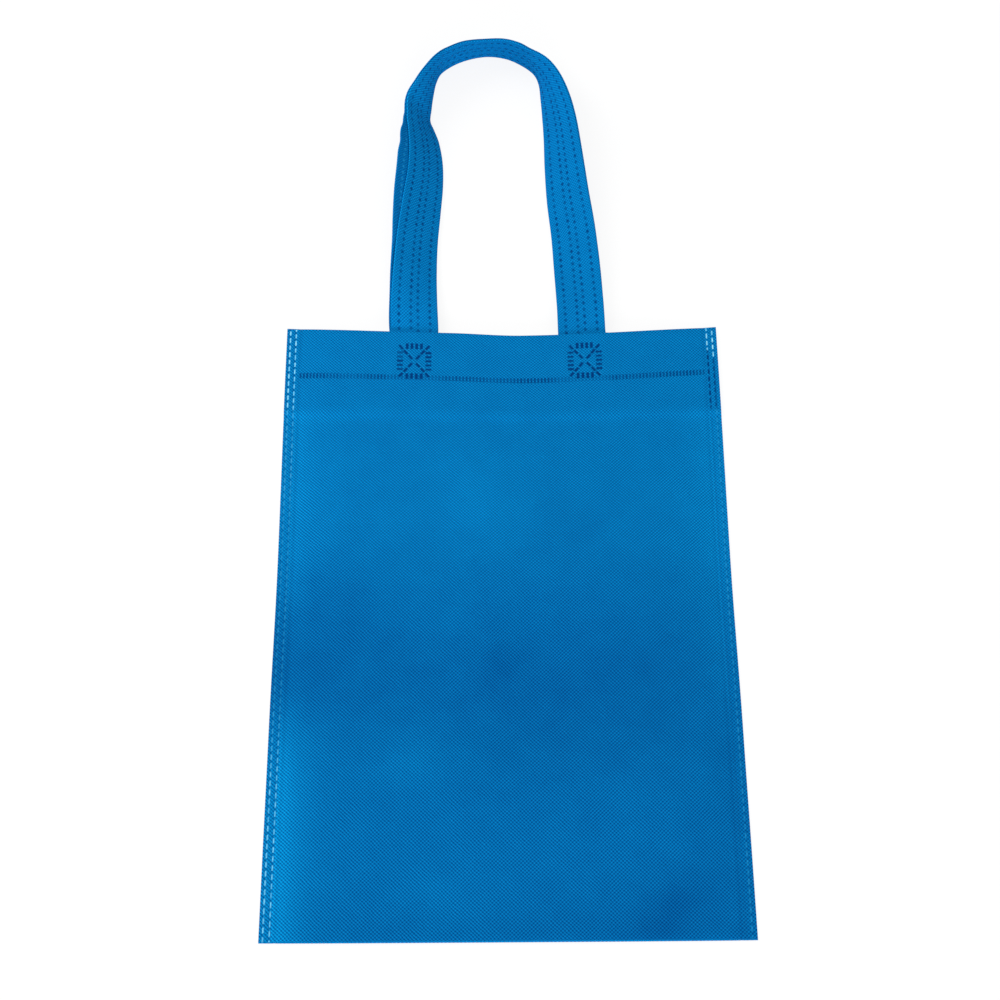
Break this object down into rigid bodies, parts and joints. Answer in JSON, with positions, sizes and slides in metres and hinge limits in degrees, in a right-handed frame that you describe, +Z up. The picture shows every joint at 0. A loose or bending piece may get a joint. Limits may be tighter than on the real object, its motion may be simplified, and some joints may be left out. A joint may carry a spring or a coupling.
{
  "type": "non-woven bag",
  "caption": "Flat non-woven cloth carrier bag with a hemmed mouth, welded side seams and a looped strap handle on each panel.",
  "frame": {"origin": "middle of the back panel's flat underside, halfway across the bag and halfway between the bottom fold and the top fold at the sides", "axes": "+X across the bag to the right as seen from above, +Y from the bottom fold towards the handles, +Z up through the front panel"},
  "size_m": [0.255, 0.5952, 0.0281],
  "materials": {
    "bag_cloth": "matte non-woven polypropylene, point-bonded, about 80 g/m2",
    "handle_cloth": "matte non-woven polypropylene strap, folded and point-welded"
  },
  "bodies": {
    "root": {"bag_body": "bag_cloth", "front_handle": "handle_cloth", "back_handle": "handle_cloth"}
  },
  "joints": []
}
